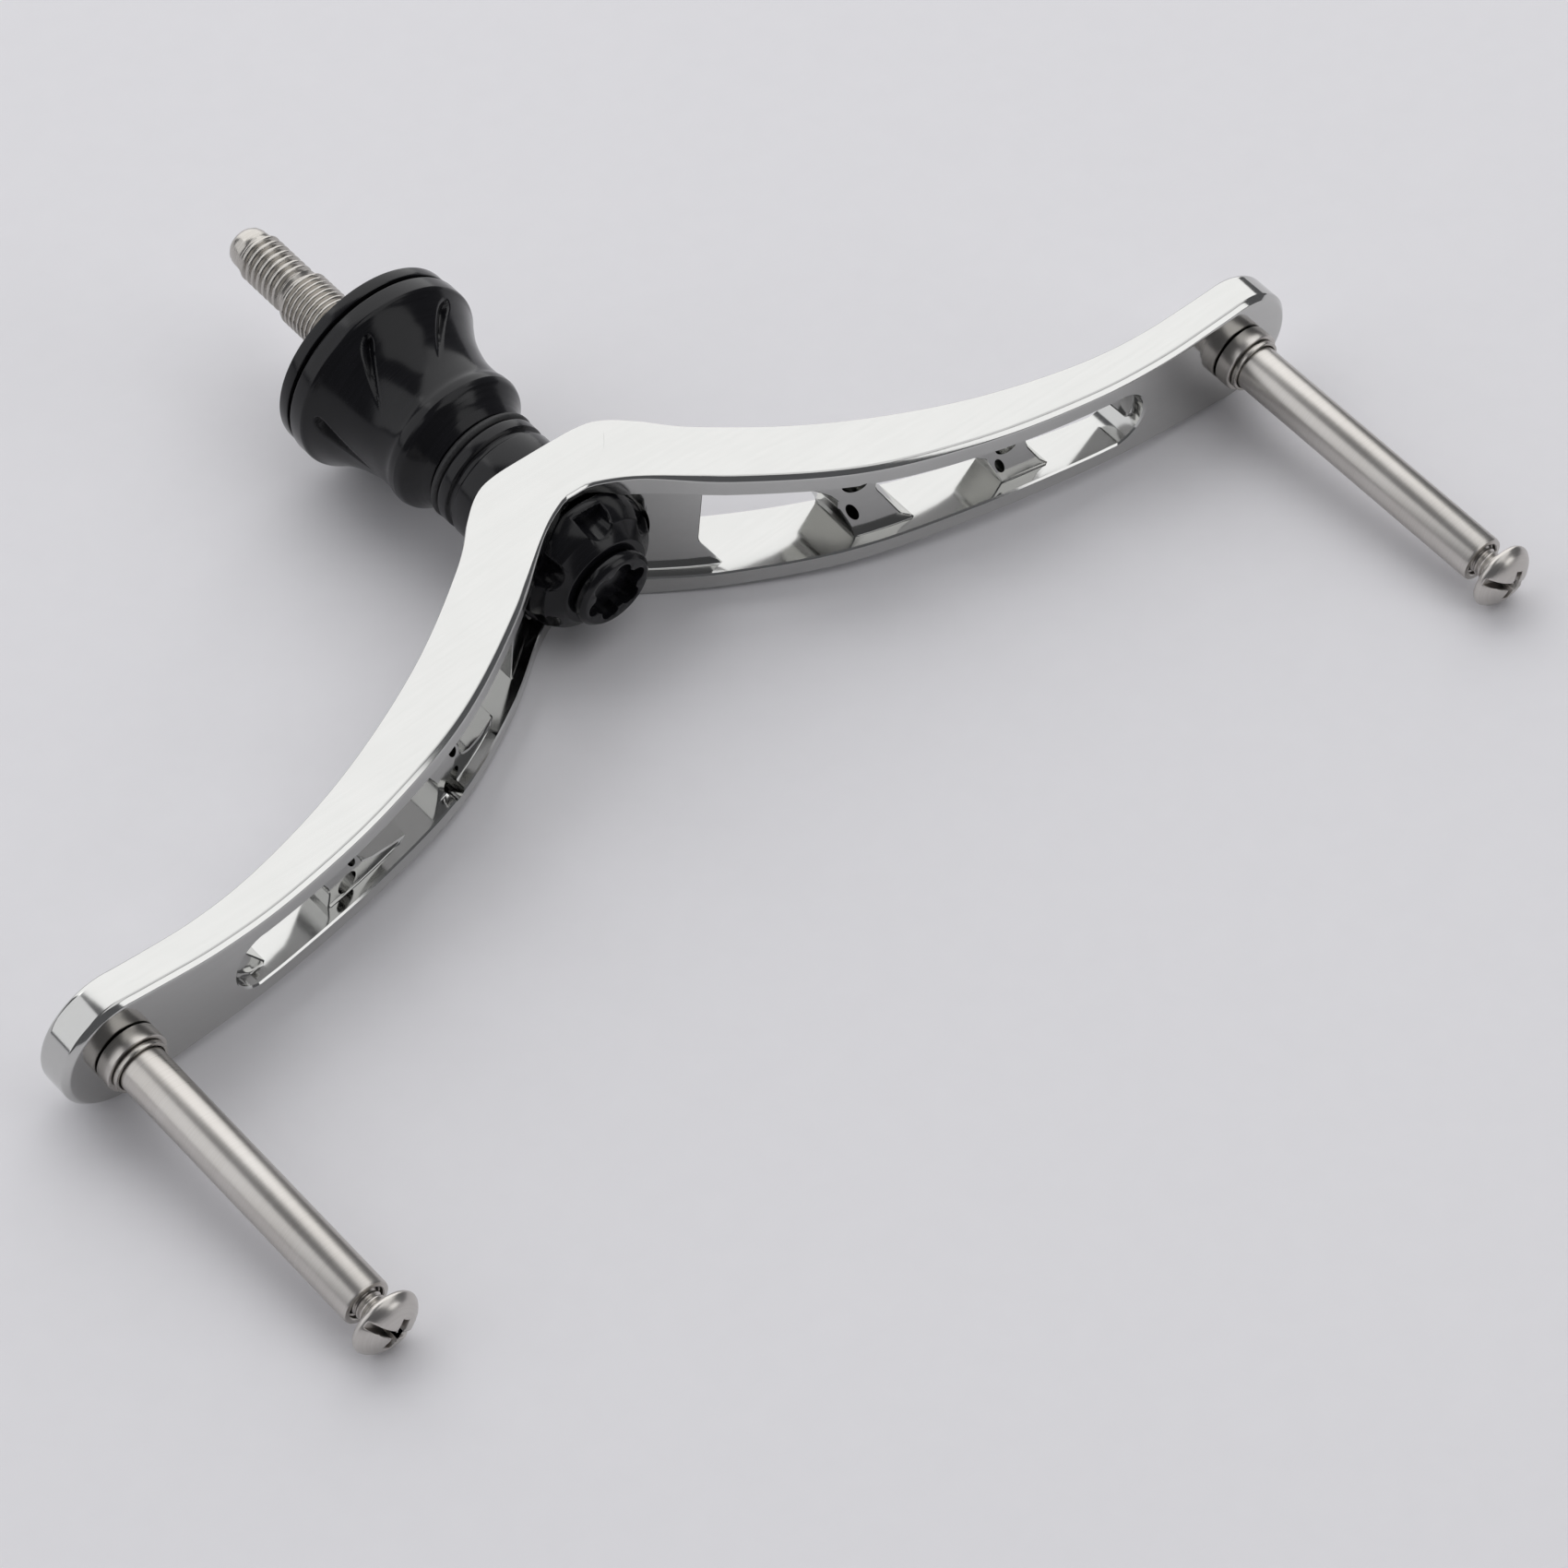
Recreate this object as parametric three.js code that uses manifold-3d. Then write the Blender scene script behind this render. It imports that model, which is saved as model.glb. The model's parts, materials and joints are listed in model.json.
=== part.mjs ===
// Twin-knob reel handle with its knobs taken off.
// Millimetres, +Z up. The turning axis is Y: the threaded stud points to +Y, the knob posts to -Y.
// The origin is the centre of the face that seats on the reel.
import * as THREE from 'three';
import { mergeVertices } from 'three/addons/utils/BufferGeometryUtils.js';
import Module from 'manifold-3d';

const wasm = await Module();
wasm.setup();

// ---------- driving dimensions ----------
const GAP = 0.1;                  // clearance between stacked pieces
const ROUND = 36;                 // facets around the large turned pieces
const FINE = 20;                  // facets around the small turned pieces

const KNOB_SPACING = 112.6;       // distance between the two post axes
const POST_X = KNOB_SPACING / 2;
const POST_R = 2.0;
const FACE_Y = -42.7;             // knob-side face of the arm at the posts
const POST_END_Y = -70.7;
const PADDLE_R = 5.6;             // round end of each wing, seen along the posts
const PADDLE_X = 56.1;
const HUB_BACK_Y = -20.75;        // reel-side face of the arm hub
const HUB_FRONT_Y = -26.1;        // bottom of the V on the knob side

const POCKET_DEPTH = 1.2;         // recess in the knob-side face, measured along Y
const FLANGE = 2.05;              // flange left above and below that recess
const POCKET_END_X = 45.9;

const SEAT_R = 6.3;               // spot face for the hub cap
const SEAT_Y = -25.6;
const BOLT_HOLE_R = 2.1;

const STUD_R = 2.44;              // large thread, crest radius
const STUD_TIP_R = 2.13;          // small thread, crest radius
const STUD_PITCH = 0.5;
const STUD_TIP_PITCH = 0.68;
const THREAD_DEPTH = 0.28;
const STUD_CORE_R = 2.3;
const DISC_R = 8.65;
const RIM_R = 8.8;
const NECK_R = 5.05;
const BORE_CLEARANCE = 0.2;

// ---------- solids ----------
function toManifold(geometry) {
  const bare = geometry.clone();
  bare.deleteAttribute('normal');
  bare.deleteAttribute('uv');
  const merged = mergeVertices(bare, 1e-4);
  return new wasm.Manifold(new wasm.Mesh({
    numProp: 3,
    vertProperties: new Float32Array(merged.attributes.position.array),
    triVerts: new Uint32Array(merged.index.array),
  }));
}

function toGeometry(solid) {
  const mesh = solid.getMesh();
  const geometry = new THREE.BufferGeometry();
  geometry.setAttribute('position', new THREE.BufferAttribute(mesh.vertProperties, 3));
  geometry.setIndex(new THREE.BufferAttribute(mesh.triVerts, 1));
  geometry.computeVertexNormals();
  return geometry;
}

function cut(body, ...tools) {
  return tools.reduce((left, tool) => left.subtract(toManifold(tool)), body);
}

// A piece turned about the Y axis. The profile lists [radius, y] going up in y and around.
function turned(profile, facets = ROUND) {
  return new THREE.LatheGeometry(profile.map(([r, y]) => new THREE.Vector2(r, y)), facets);
}

function ring(inner, outer, low, high, facets = ROUND) {
  return turned([[inner, low], [outer, low], [outer, high], [inner, high], [inner, low]], facets);
}

function rod(radius, low, high, facets = FINE) {
  return turned([[0, low], [radius, low], [radius, high], [0, high]], facets);
}

// Crests and roots of a thread from one y to another, as rings.
function threadProfile(radius, low, high, pitch, depth = THREAD_DEPTH) {
  const turns = Math.floor((high - low) / pitch);
  const points = [[radius - depth, low]];
  for (let turn = 0; turn < turns; turn++) {
    points.push([radius, low + (turn + 0.5) * pitch]);
    points.push([radius - depth, low + (turn + 1) * pitch]);
  }
  return points;
}

// A prism with its outline in the XZ plane, reaching from one y to another.
function prismAlongY(outline, low, high) {
  const shape = new THREE.Shape(outline.map(([x, z]) => new THREE.Vector2(x, z)));
  const geometry = new THREE.ExtrudeGeometry(shape, { depth: high - low, bevelEnabled: false });
  geometry.rotateX(Math.PI / 2);
  geometry.translate(0, high, 0);
  return geometry;
}

function prismAlongZ(outline, half) {
  const shape = new THREE.Shape(outline.map(([x, y]) => new THREE.Vector2(x, y)));
  const geometry = new THREE.ExtrudeGeometry(shape, { depth: 2 * half, bevelEnabled: false });
  geometry.translate(0, 0, -half);
  return geometry;
}

function spline(points, count) {
  const curve = new THREE.SplineCurve(points.map(([x, y]) => new THREE.Vector2(x, y)));
  return curve.getPoints(count).map((point) => [point.x, point.y]);
}

function arc(cx, cy, radius, from, to, count) {
  const points = [];
  for (let step = 0; step <= count; step++) {
    const angle = THREE.MathUtils.degToRad(from + (to - from) * step / count);
    points.push([cx + radius * Math.cos(angle), cy + radius * Math.sin(angle)]);
  }
  return points;
}

const mirrorX = (points) => points.map(([x, y]) => [-x, y]).reverse();
const halfTurn = (points) => points.map(([x, z]) => [-x, -z]);

// ---------- the arm ----------
// Reel-side edge and knob-side edge of the right wing, seen from above, from the hub out.
const BACK_EDGE = [[3.4, HUB_BACK_Y], [5.3, -21.0], [6.8, -21.7], [8.6, -23.1], [12, -26.05],
  [20, -30.95], [30, -35.25], [40, -38.1], [48, -39.25], [58, -39.35]];
const FRONT_EDGE = [[1.2, HUB_FRONT_Y], [4.6, -27.8], [11, -32.35], [20, -37.1], [30, -40.1],
  [40, -41.95], [47, -42.6], [54, FACE_Y]];
// Half height of the arm, seen along the posts.
const HALF_HEIGHT = [[0, 7.15], [5, 7.1], [8.6, 6.85], [12, 6.5], [18, 5.9], [25, 5.3], [33, 4.85],
  [41, 4.75], [48, 4.93], [52, 5.24], [55.1, 5.51]];
const TIP_X = PADDLE_X + PADDLE_R;
const TIP_BACK_Y = -39.35;
const TIP_FILLET = 0.8;
const EDGE_STEPS = 16;
const OVER = 5;                   // how far cutting tools reach past the arm

function planOutline() {
  const back = spline(BACK_EDGE, EDGE_STEPS);
  const front = spline(FRONT_EDGE, EDGE_STEPS);
  const corner = arc(TIP_X - TIP_FILLET, TIP_BACK_Y - TIP_FILLET, TIP_FILLET, 90, 10, 2);
  const tip = [[TIP_X, -42.3], [TIP_X - 0.4, FACE_Y]];
  const right = [...front, ...[...tip].reverse(), ...[...corner].reverse(), ...[...back].reverse()];
  return [...right, ...mirrorX(right)];
}

function frontOutline() {
  const top = spline(HALF_HEIGHT, EDGE_STEPS);
  const end = arc(PADDLE_X, 0, PADDLE_R, 94, -94, 14);
  const bottom = [...top].reverse().map(([x, z]) => [x, -z]);
  const right = [...top, ...end, ...bottom];
  const left = mirrorX(right).slice(1, -1);
  return [...right, ...left];
}

function halfHeightAt(x) {
  const index = Math.max(1, HALF_HEIGHT.findIndex(([px]) => px >= x));
  const [x0, z0] = HALF_HEIGHT[index - 1];
  const [x1, z1] = HALF_HEIGHT[index];
  return z0 + (z1 - z0) * (x - x0) / (x1 - x0);
}

// The outline of the knob-side recess: it leaves a flange above and below, and ends round.
function pocketOutline() {
  const stations = [0, 6, 12, 20, 28, 36, 43];
  const top = stations.map((x) => [x, halfHeightAt(x) - FLANGE]);
  const endZ = halfHeightAt(POCKET_END_X) - FLANGE;
  const end = arc(POCKET_END_X - endZ, 0, endZ, 80, -80, 8);
  const bottom = [...top].reverse().map(([x, z]) => [x, -z]);
  const right = [...top, ...end, ...bottom];
  return [...right, ...mirrorX(right).slice(1, -1)];
}

// The recess floor follows the knob-side edge, POCKET_DEPTH behind it.
function pocketTool() {
  const floor = spline(FRONT_EDGE, EDGE_STEPS).map(([x, y]) => [x, y + POCKET_DEPTH]);
  const slab = [[0, HUB_FRONT_Y + POCKET_DEPTH], ...floor, [54, FACE_Y - OVER]];
  const plan = toManifold(prismAlongZ([...slab, ...mirrorX(slab).slice(0, -1)], OVER * 2));
  return plan.intersect(toManifold(prismAlongY(pocketOutline(), FACE_Y - OVER, 0)));
}

// Three windows a wing reach right across the recess. Two slanted struts stand between them,
// each with a pair of round holes.
const WINDOWS = [
  [[9.5, -1.7], [11.9, -5.5], [21.2, -5.5], [20.7, -3.1], [19.2, 0.3], [19.2, 1.0], [18.5, 1.9],
    [17.4, 2.7], [15.6, 3.5], [13, 4.3], [13, 5.5], [9.5, 5.5]],
  [[25.6, -3.0], [27, -5.5], [33.8, -5.5], [33.4, -2.8], [31.8, 0.2], [31.6, 0.8], [30.3, 1.6],
    [28, 2.5], [25.5, 3.5], [25, 5.5], [22.3, 5.5], [22.1, 2.6], [22.1, 1.6], [22.8, 0.5],
    [24.5, -2.3]],
  [[38, -3.0], [39.5, -5.5], [46.4, -5.5], [46.4, -3.2], [43.4, 0.9], [40.2, 5.5], [35.8, 5.5],
    [35.3, 2.2], [35.2, 1.2], [35.5, 0.3], [36.9, -1.9]],
];
const STRUT_HOLES = [[20.3, 2.9, 1.05], [33.3, 1.7, 1.0]];
const STRUT_SLOTS = [[20.35, -0.55, 1.15, 0.4], [32.95, -0.6, 1.05, 0.35]];
const SLOT_TILT = 66;             // degrees from the arm's length

function windowTools() {
  const recess = toManifold(prismAlongY(pocketOutline(), FACE_Y - OVER, 0));
  return WINDOWS.flatMap((outline) => [outline, halfTurn(outline)])
    .map((outline) => recess.intersect(toManifold(prismAlongY(outline, FACE_Y - OVER, 0))));
}

// A shallow lens-shaped dish in the hub's top face, deepest along its curved knob-side wall.
const DISH = { radius: 6.6, wallY: -25.6, vanishY: -21.9, depth: 0.5, tall: 4 };

function dishTool() {
  const tilt = Math.atan2(DISH.depth, DISH.vanishY - DISH.wallY);
  const tool = new THREE.CylinderGeometry(DISH.radius, DISH.radius, DISH.tall, 48);
  tool.rotateX(Math.PI / 2);
  tool.translate(0, DISH.wallY + DISH.radius - DISH.vanishY, DISH.tall / 2);
  tool.rotateX(tilt);
  tool.translate(0, DISH.vanishY, HALF_HEIGHT[0][1]);
  return tool;
}

function holeTool([x, z, radius], low = FACE_Y - OVER, high = 0) {
  const tool = rod(radius, low, high, 16);
  tool.translate(x, 0, z);
  return tool;
}

function slotTool([x, z, halfLength, halfWidth]) {
  const tool = rod(1, FACE_Y - OVER, 0, 16);
  tool.scale(halfLength, 1, halfWidth);
  tool.rotateY(THREE.MathUtils.degToRad(SLOT_TILT));
  tool.translate(x, 0, z);
  return tool;
}

const POST_TAIL_R = 1.5;
const TAIL_HEAD_R = 2.3;
const TAIL_HEAD_Y = -39.35;       // reel-side face of the arm at the posts
const DOWEL = { x: 3.7, radius: 0.75, low: -22.6, high: -18.9 };

function armSolid() {
  const plan = toManifold(prismAlongZ(planOutline(), OVER * 2));
  const front = toManifold(prismAlongY(frontOutline(), FACE_Y - OVER, 0));
  const bothWings = ([x, z, ...size]) => [[x, z, ...size], [-x, -z, ...size]];
  const holes = STRUT_HOLES.flatMap(bothWings);
  const slots = STRUT_SLOTS.flatMap(bothWings);
  const posts = [-POST_X, POST_X].map((x) => [x, 0, POST_TAIL_R + GAP]);
  const tails = [-POST_X, POST_X].map((x) => [x, 0, TAIL_HEAD_R + GAP]);
  const dowels = [-DOWEL.x, DOWEL.x].map((x) => [x, 0, DOWEL.radius + GAP]);
  const blank = plan.intersect(front).subtract(pocketTool());
  const open = windowTools().reduce((left, tool) => left.subtract(tool), blank);
  return cut(
    open,
    dishTool(),
    ...holes.map((hole) => holeTool(hole)),
    ...slots.map(slotTool),
    rod(SEAT_R, FACE_Y, SEAT_Y, ROUND),
    rod(BOLT_HOLE_R, SEAT_Y - OVER, 0),
    ...posts.map((hole) => holeTool(hole)),
    ...tails.map((hole) => holeTool(hole, TAIL_HEAD_Y - 0.9, 0)),
    ...dowels.map((hole) => holeTool(hole, DOWEL.low - GAP, 0)),
  );
}

// ---------- the turned hub pieces ----------
const LOCK_SCREW = { y: -12.4, radius: 1.2, inner: STUD_CORE_R + GAP, outer: 5.95 };

// Each flute lies slanted across the flare. Its place is that of its middle, around the turning axis.
const FLUTE = {
  count: 6, length: 5.2, halfWidth: 0.6, depth: 3, slant: 41, tilt: 11, midY: -6.1, midR: 6.49, angle: 68,
};

function shankSolid() {
  const bore = STUD_CORE_R + BORE_CLEARANCE;
  const body = toManifold(turned([
    [bore, -14.25], [4.75, -14.25], [5.05, -13.5], [5.4, -13.0], [5.8, -12.55], [6.2, -12.1],
    [6.37, -11.6], [6.34, -11.0], [6.2, -10.3], [6.24, -9.0], [6.4, -7.9], [6.75, -6.6],
    [7.2, -5.5], [7.75, -4.5], [8.35, -3.55], [8.7, -3.1], [RIM_R, -2.9], [RIM_R, -1.6],
    [RIM_R - 0.15, -1.5], [bore, -1.5], [bore, -14.25],
  ]));
  // The teardrop flutes are wide and deep at the rim, and run out to a point at the waist.
  const flutes = Array.from({ length: FLUTE.count }, (_, index) => {
    const wideEnd = FLUTE.length / 2 - FLUTE.halfWidth;
    const outline = [[0, -FLUTE.length / 2], ...arc(0, wideEnd, FLUTE.halfWidth, -10, 190, 8)];
    const shape = new THREE.Shape(outline.map(([x, y]) => new THREE.Vector2(x, y)));
    const flute = new THREE.ExtrudeGeometry(shape, { depth: FLUTE.depth, bevelEnabled: false });
    flute.rotateZ(THREE.MathUtils.degToRad(-FLUTE.slant));
    flute.rotateX(THREE.MathUtils.degToRad(FLUTE.tilt));
    flute.translate(0, FLUTE.midY, FLUTE.midR);
    flute.rotateY(THREE.MathUtils.degToRad(90 - FLUTE.angle + index * 360 / FLUTE.count));
    return flute;
  });
  const screwHole = rod(LOCK_SCREW.radius + GAP, -OVER * 2, 0, 20);
  screwHole.rotateX(Math.PI / 2);
  screwHole.translate(0, LOCK_SCREW.y, 0);
  return cut(body, ...flutes, screwHole);
}

function lockScrewSolid() {
  const screw = rod(LOCK_SCREW.radius, -LOCK_SCREW.outer, -LOCK_SCREW.inner, 20);
  const socket = rod(0.7, -LOCK_SCREW.outer - 1, -LOCK_SCREW.outer + 1.4, 6);
  const solid = cut(toManifold(screw), socket);
  return toGeometry(solid).rotateX(Math.PI / 2).translate(0, LOCK_SCREW.y, 0);
}

function studSolid() {
  const large = threadProfile(STUD_R, 0.15, 8.2, STUD_PITCH);
  const small = threadProfile(STUD_TIP_R, 8.5, 13.97, STUD_TIP_PITCH);
  const nose = [[1.85, 14.1], [1.8, 14.9], [1.4, 15.6], [0.75, 15.95], [0, 16.05]];
  const body = toManifold(turned(
    [[0, -18.2], [STUD_CORE_R, -18.2], [STUD_CORE_R, 0], ...large, ...small, ...nose], FINE));
  return cut(body, rod(HUB_BOLT.threadR + BORE_CLEARANCE, -19, -9.6, 24));
}

const HUB_BOLT = { threadR: 1.7, tipY: -10.6, headR: 3.5, neckR: 2.9, headBackY: -30.05, headY: -31.3 };
// A wide six-lobed recess in the bolt's head.
const RECESS = { lobes: 6, coreR: 1.95, lobeR: 0.75, lobeAt: 1.98, depth: 1.2, turn: 16 };

function hubBoltSolid() {
  const body = toManifold(turned([
    [0, HUB_BOLT.headY], [HUB_BOLT.headR - 0.35, HUB_BOLT.headY], [HUB_BOLT.headR, -30.95],
    [HUB_BOLT.headR, -30.45], [HUB_BOLT.neckR, HUB_BOLT.headBackY], [HUB_BOLT.neckR, -29.5],
    [HUB_BOLT.threadR, -29.5], [HUB_BOLT.threadR, HUB_BOLT.tipY - 0.3],
    [HUB_BOLT.threadR - 0.3, HUB_BOLT.tipY], [0, HUB_BOLT.tipY],
  ], FINE));
  const floorY = HUB_BOLT.headY + RECESS.depth;
  const socket = Array.from({ length: RECESS.lobes }, (_, index) => {
    const angle = THREE.MathUtils.degToRad(RECESS.turn + index * 360 / RECESS.lobes);
    const lobe = rod(RECESS.lobeR, HUB_BOLT.headY - 1, floorY, 12);
    lobe.translate(RECESS.lobeAt * Math.cos(angle), 0, RECESS.lobeAt * Math.sin(angle));
    return lobe;
  });
  return cut(body, rod(RECESS.coreR, HUB_BOLT.headY - 1, floorY, 24), ...socket);
}

// A domed cap with scallops round its rim, held down by the hub bolt.
function hubCapSolid() {
  const body = toManifold(turned([
    [1.85, -26.6], [1.85, -29.35], [3.15, -29.35], [3.15, -30.0], [4.0, -29.95], [4.35, -29.5],
    [5.3, -28.9], [5.85, -28.0], [6.1, -26.9], [6.1, SEAT_Y - GAP - 0.75], [5.7, SEAT_Y - GAP - 0.4],
    [3.3, SEAT_Y - GAP - 0.4], [3.3, -26.6], [1.85, -26.6],
  ]));
  const SCALLOPS = 6;
  const tools = Array.from({ length: SCALLOPS }, (_, index) => {
    const angle = (index + 0.5) * 2 * Math.PI / SCALLOPS;
    const tool = rod(1.2, -31, -27.2, 14);
    tool.translate(5.9 * Math.cos(angle), 0, 5.9 * Math.sin(angle));
    return tool;
  });
  return cut(body, ...tools);
}

// ---------- the knob posts ----------
const SCREW = {
  threadR: 1.2, pitch: 0.45, headR: 2.85, headBackY: -72.35, tipY: -65.2, domeY: -74.2,
};
// The head takes a flat or a cross driver: a slot right across it, and a short one at right angles.
const SLOT_BOTTOM_Y = -72.98;
const SLOTS = [{ length: 7, width: 0.6, turn: 0 }, { length: 2.6, width: 0.75, turn: 90 }];

function postGeometry() {
  const bore = SCREW.threadR + BORE_CLEARANCE;
  return turned([
    [0, -63.6], [bore, -63.6], [bore, POST_END_Y + 0.5], [1.5, POST_END_Y + 0.4], [1.5, POST_END_Y],
    [1.9, POST_END_Y], [POST_R, POST_END_Y + 0.15], [POST_R, FACE_Y - GAP],
    [POST_TAIL_R, FACE_Y - GAP], [POST_TAIL_R, TAIL_HEAD_Y - 0.8], [TAIL_HEAD_R, TAIL_HEAD_Y - 0.8],
    [TAIL_HEAD_R, TAIL_HEAD_Y - 0.1], [TAIL_HEAD_R - 0.4, TAIL_HEAD_Y], [0, TAIL_HEAD_Y],
  ], FINE);
}

function knobScrewSolid(turn) {
  const thread = threadProfile(SCREW.threadR, SCREW.headBackY, POST_END_Y, SCREW.pitch, 0.15);
  const body = toManifold(turned([
    [0, SCREW.domeY], [0.9, -74.12], [1.75, -73.85], [2.45, -73.4], [2.8, -72.95], [SCREW.headR, -72.75],
    [SCREW.headR - 0.2, SCREW.headBackY], ...thread, [SCREW.threadR - 0.15, SCREW.tipY - 0.3],
    [0.8, SCREW.tipY], [0, SCREW.tipY],
  ], FINE));
  const slots = SLOTS.map((size) => {
    const slot = new THREE.BoxGeometry(size.length, OVER, size.width);
    slot.translate(0, SLOT_BOTTOM_Y - OVER / 2, 0);
    slot.rotateY(THREE.MathUtils.degToRad(turn + size.turn));
    return slot;
  });
  return cut(body, ...slots);
}

// ---------- finishes ----------
const FINISH = {
  polished: { color: 0xe9e9ea, roughness: 0.08, metalness: 1 },
  satinSteel: { color: 0xc9c4bc, roughness: 0.25, metalness: 1 },
  threadSteel: { color: 0xb5b1aa, roughness: 0.3, metalness: 1 },
  blackAnodised: { color: 0x17181b, roughness: 0.22, metalness: 0.7 },
  blackRubber: { color: 0x0d0d0e, roughness: 0.8, metalness: 0 },
};

const handle = new THREE.Group();

function addPiece(name, geometry, finish, x = 0) {
  const mesh = new THREE.Mesh(geometry, new THREE.MeshStandardMaterial(FINISH[finish]));
  mesh.name = name;
  mesh.position.x = x;
  handle.add(mesh);
}

// ---------- assembly, from the reel side to the knob side ----------
const STUD_BORE = STUD_CORE_R + BORE_CLEARANCE;
addPiece('drive_stud', toGeometry(studSolid()), 'threadSteel');
addPiece('seat_disc', ring(STUD_BORE, DISC_R, -1.05, 0), 'blackAnodised');
addPiece('groove_seal', ring(STUD_BORE, DISC_R - 0.4, -1.4, -1.15), 'blackRubber');
addPiece('shank_body', toGeometry(shankSolid()), 'blackAnodised');
addPiece('stud_lock_screw', lockScrewSolid(), 'threadSteel');

const NECK_PROFILE = [
  [STUD_BORE, -20.05], [NECK_R, -20.05], [NECK_R, -17.2], [4.85, -17.0], [4.85, -16.6], [NECK_R, -16.4],
  [NECK_R, -15.5], [4.95, -15.3], [4.2, -15.3], [4.2, -14.35], [STUD_BORE, -14.35], [STUD_BORE, -20.05],
];
const neck = cut(toManifold(turned(NECK_PROFILE)),
  ...[-DOWEL.x, DOWEL.x].map((x) => holeTool([x, 0, DOWEL.radius + GAP], -21, DOWEL.high + GAP)));
addPiece('neck_sleeve', toGeometry(neck), 'blackAnodised');
addPiece('neck_o_ring', turned(arc(4.72, -14.83, 0.4, 0, 360, 8), ROUND), 'blackRubber');
const washer = cut(toManifold(ring(STUD_BORE, NECK_R - 0.15, -20.65, -20.15)),
  ...[-DOWEL.x, DOWEL.x].map((x) => holeTool([x, 0, DOWEL.radius + GAP], -21, -20)));
addPiece('arm_washer', toGeometry(washer), 'threadSteel');
for (const [name, side] of [['left_drive_dowel', -1], ['right_drive_dowel', 1]]) {
  addPiece(name, rod(DOWEL.radius, DOWEL.low, DOWEL.high, 20), 'threadSteel', side * DOWEL.x);
}

addPiece('arm', toGeometry(armSolid()), 'polished');
addPiece('hub_cap', toGeometry(hubCapSolid()), 'blackAnodised');
addPiece('hub_bolt', toGeometry(hubBoltSolid()), 'blackAnodised');

for (const [side, x, screwTurn] of [['left', -POST_X, 44], ['right', POST_X, 27]]) {
  addPiece(`${side}_post`, postGeometry(), 'satinSteel', x);
  addPiece(`${side}_collar`, ring(POST_R + GAP, 2.7, -44.25, FACE_Y - GAP, FINE), 'satinSteel', x);
  addPiece(`${side}_shim`, ring(POST_R + GAP, 2.36, -44.75, -44.35, FINE), 'threadSteel', x);
  addPiece(`${side}_knob_screw`, toGeometry(knobScrewSolid(screwTurn)), 'satinSteel', x);
}

export default handle;
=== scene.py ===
# %% [markdown]
# # The crank handle of a fishing reel, with its knobs taken off
#
# A gull-winged aluminium arm, polished like a mirror, carries two bare steel posts on one side.
# On the other side stands a black flared shank with a threaded stud that goes into the reel.
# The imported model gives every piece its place. This lesson builds a finer skin for each piece over it,
# then the finishes, the table and the light.

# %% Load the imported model
import json
import math

import bmesh
import bpy
import numpy as np
from mathutils import Matrix, Vector

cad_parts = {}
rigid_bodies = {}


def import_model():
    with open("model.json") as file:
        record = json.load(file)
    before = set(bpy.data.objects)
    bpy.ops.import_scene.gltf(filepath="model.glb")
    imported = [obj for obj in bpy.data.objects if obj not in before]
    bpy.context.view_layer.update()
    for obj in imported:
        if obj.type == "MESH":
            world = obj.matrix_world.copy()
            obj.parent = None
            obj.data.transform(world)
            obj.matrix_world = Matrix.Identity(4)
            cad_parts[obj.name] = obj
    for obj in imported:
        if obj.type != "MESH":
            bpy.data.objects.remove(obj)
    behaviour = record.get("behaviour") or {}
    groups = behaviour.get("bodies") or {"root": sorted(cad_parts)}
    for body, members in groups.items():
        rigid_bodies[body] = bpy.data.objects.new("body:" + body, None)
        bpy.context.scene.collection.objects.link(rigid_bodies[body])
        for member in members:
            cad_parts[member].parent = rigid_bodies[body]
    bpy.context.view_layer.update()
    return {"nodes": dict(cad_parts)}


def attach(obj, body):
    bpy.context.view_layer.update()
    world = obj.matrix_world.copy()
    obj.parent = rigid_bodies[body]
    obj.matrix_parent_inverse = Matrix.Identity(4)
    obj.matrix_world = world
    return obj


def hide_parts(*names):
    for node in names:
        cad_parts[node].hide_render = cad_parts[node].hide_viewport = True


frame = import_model()
MM = 0.001
print("nodes in the packed model:", len(frame["nodes"]))

# %% [markdown]
# ## Finishes
#
# All the metal here is one Principled shader with different numbers. What tells one metal from another
# is how its roughness and its small bumps run. A polished face has faint hair lines along the arm. A
# turned piece has fine rings around its own axis. So each finish mixes an even noise with one that is
# stretched along the way the tool went.
# An image could be wrapped round the pieces instead, but noise needs no unwrapping and never repeats.


# %% A small helper for shader nodes
def new_material(name):
    """An empty material with its output node, and a function that adds nodes and joins them."""
    material = bpy.data.materials.new(name)
    material.use_nodes = True
    tree = material.node_tree
    tree.nodes.clear()

    def node(kind, inputs=None, **settings):
        made = tree.nodes.new(kind)
        for key, value in settings.items():
            setattr(made, key, value)
        for key, value in (inputs or {}).items():
            if isinstance(value, bpy.types.NodeSocket):
                tree.links.new(value, made.inputs[key])
            else:
                made.inputs[key].default_value = value
        return made

    return material, node


def ramp_between(node, factor, low, high, colour_low, colour_high):
    """A colour ramp from one colour to another as the factor goes from low to high."""
    made = node("ShaderNodeValToRGB", {"Fac": factor})
    made.color_ramp.elements[0].position = low
    made.color_ramp.elements[0].color = (*colour_low, 1)
    made.color_ramp.elements[1].position = high
    made.color_ramp.elements[1].color = (*colour_high, 1)
    return made.outputs["Color"]


NOISE_LOW, NOISE_HIGH = 0.3, 0.7  # a noise rarely leaves this range
MOTTLING = 180.0  # even noise, in waves per metre
CLOUD_SHARE = 0.45
BUMP_HEIGHT = 0.02 * MM


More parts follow.
